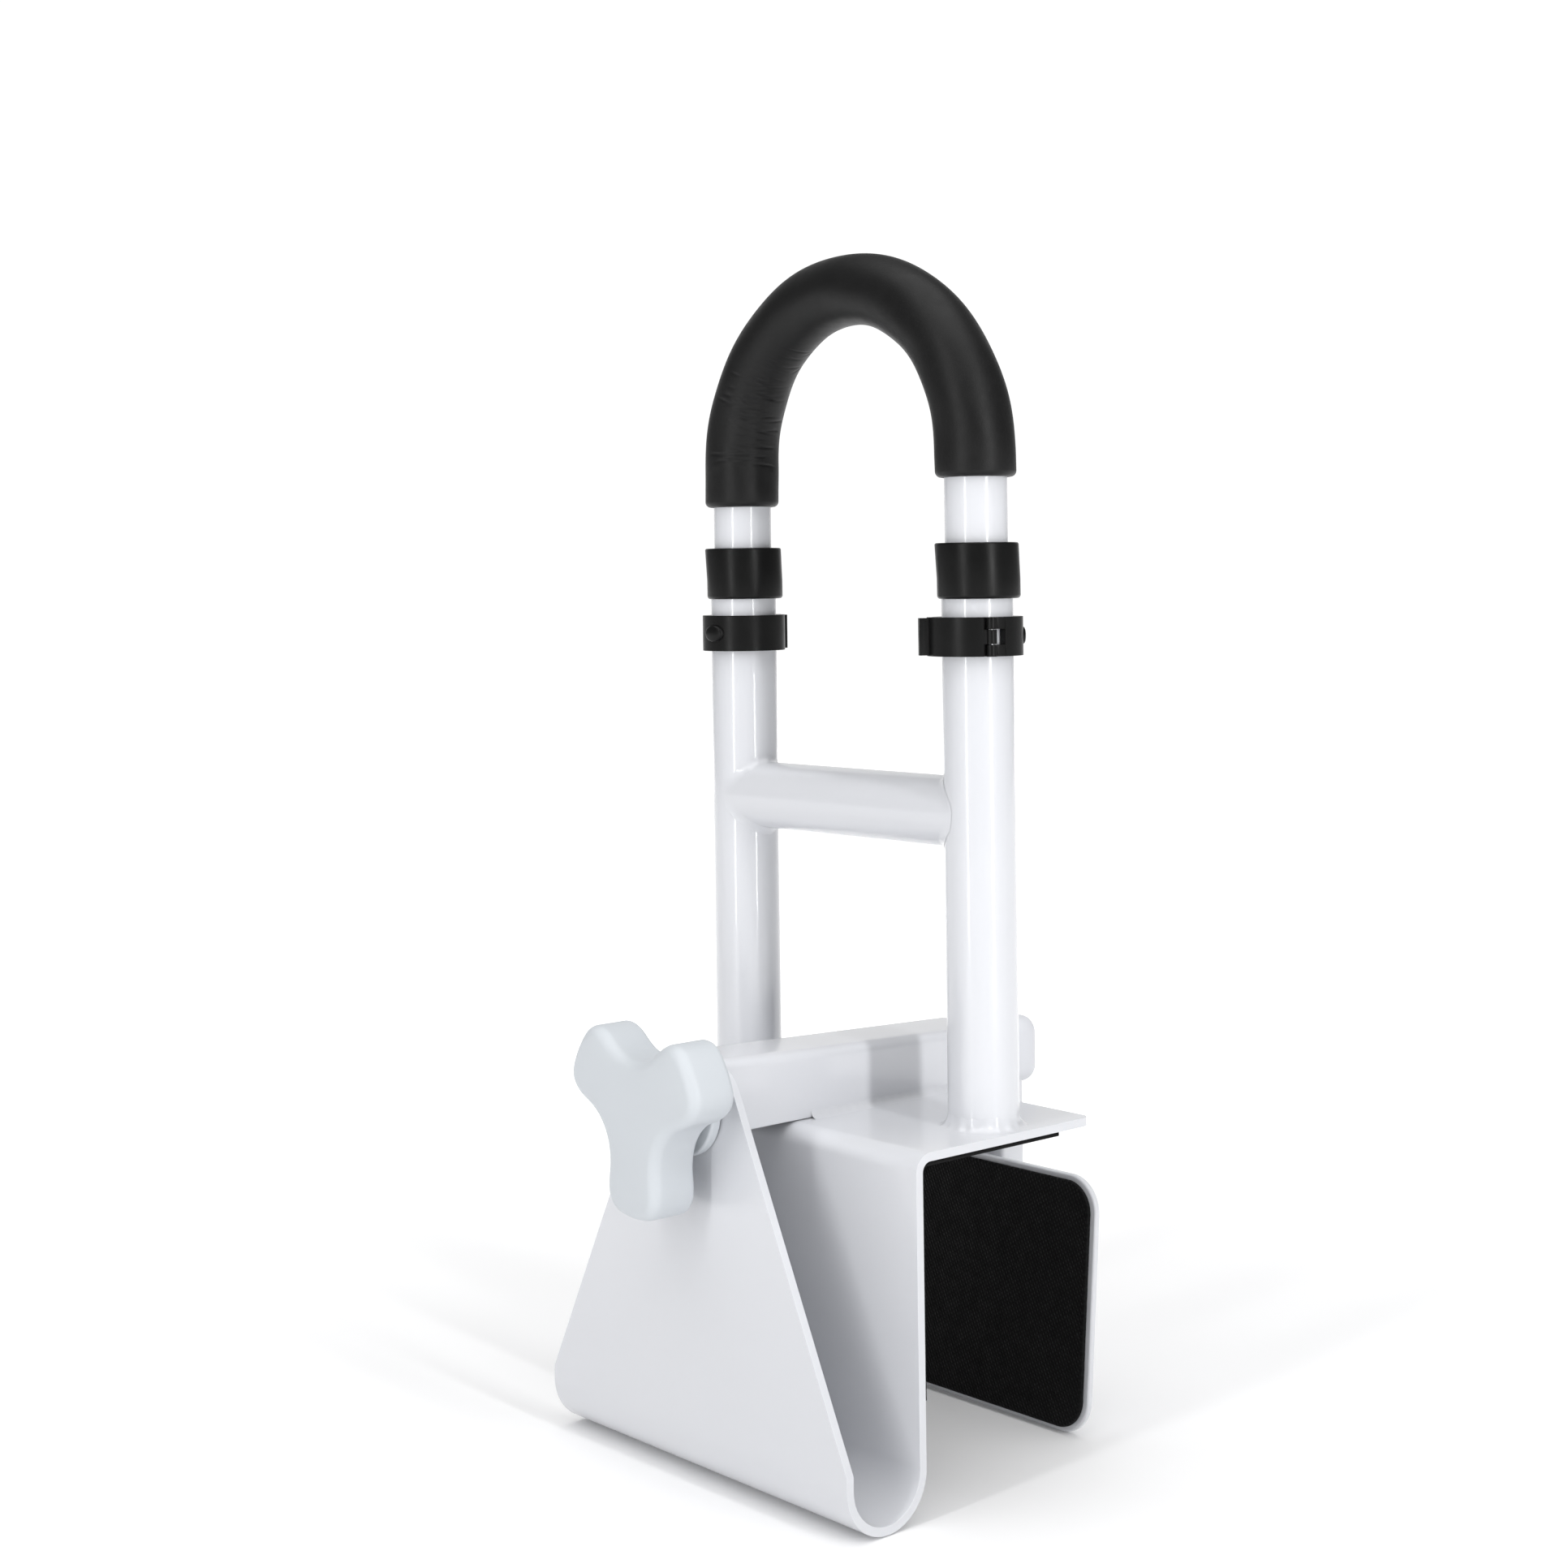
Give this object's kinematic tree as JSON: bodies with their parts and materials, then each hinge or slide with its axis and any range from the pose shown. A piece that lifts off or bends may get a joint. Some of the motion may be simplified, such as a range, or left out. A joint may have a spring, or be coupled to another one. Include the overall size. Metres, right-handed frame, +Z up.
{
  "type": "clamp-on bathtub safety rail",
  "caption": "Height-adjustable grab handle on two telescoping legs over a rubber-lined screw clamp that straddles a tub wall.",
  "frame": {"origin": "on the underside of the rim pad, midway between the two leg axes", "axes": "+Z up along the legs, +X over the rim from the knob towards the jaw, +Y along the tub rim from the near leg to the far leg"},
  "size_m": [0.2171, 0.1844, 0.4947],
  "materials": {
    "white_steel": "gloss white powder coat",
    "black_foam": "satin closed-cell foam",
    "black_plastic": "satin moulded black",
    "black_rubber": "matt, fine diagonal texture",
    "knob_plastic": "satin light grey",
    "white_plastic": "satin white",
    "nylon": "natural",
    "zinc_steel": "zinc plated"
  },
  "bodies": {
    "frame": {"bracket_sheet": "white_steel", "rim_pad": "black_rubber", "screw_housing": "white_steel", "housing_glide_near": "nylon", "housing_glide_far": "nylon", "outer_tube_near": "white_steel", "outer_tube_far": "white_steel", "crossbar": "white_steel", "collar_near": "black_plastic", "collar_far": "black_plastic", "clip_band_near": "black_plastic", "clip_band_far": "black_plastic", "clip_hinge_pin_near": "zinc_steel", "clip_hinge_pin_far": "zinc_steel", "lock_pin_near": "zinc_steel", "lock_pin_far": "zinc_steel"},
    "handle": {"handle_tube": "white_steel", "foam_grip": "black_foam", "glide_plug_near": "black_plastic", "glide_plug_far": "black_plastic"},
    "screw": {"knob": "knob_plastic", "thrust_washer": "knob_plastic", "clamp_screw": "zinc_steel", "screw_retainer": "zinc_steel"},
    "jaw": {"slide_arm": "white_steel", "arm_nut": "zinc_steel", "arm_end_cap": "white_plastic", "jaw_post": "white_steel", "post_plug": "white_plastic", "jaw_wedge": "white_steel", "jaw_plate": "white_steel", "jaw_pad": "black_rubber"},
    "near_gate": {"clip_gate_near": "black_plastic"},
    "far_gate": {"clip_gate_far": "black_plastic"}
  },
  "joints": [
    {"name": "handle_slide", "type": "slide", "parent": "frame", "child": "handle", "axis": [0, 0, 1], "range_m": [0, 0.1016]},
    {"name": "knob_spin", "type": "hinge", "parent": "frame", "child": "screw", "pos_m": [-0.1005, 0, 0.0169], "axis": [1, 0, 0], "range_deg": [-5039, 2159]},
    {"name": "jaw_slide", "type": "slide", "parent": "frame", "child": "jaw", "axis": [1, 0, 0], "range_m": [-0.018, 0.042]},
    {"name": "near_gate_hinge", "type": "hinge", "parent": "frame", "child": "near_gate", "pos_m": [-0.00799, -0.08833, 0.20065], "axis": [0, 0, 1], "range_deg": [0, 110]},
    {"name": "far_gate_hinge", "type": "hinge", "parent": "frame", "child": "far_gate", "pos_m": [-0.00214, 0.09012, 0.20065], "axis": [0, 0, 1], "range_deg": [0, 110]}
  ],
  "couplings": [
    {"joint": "jaw_slide", "follows": "knob_spin", "m_per_rad": -0.00047746}
  ]
}
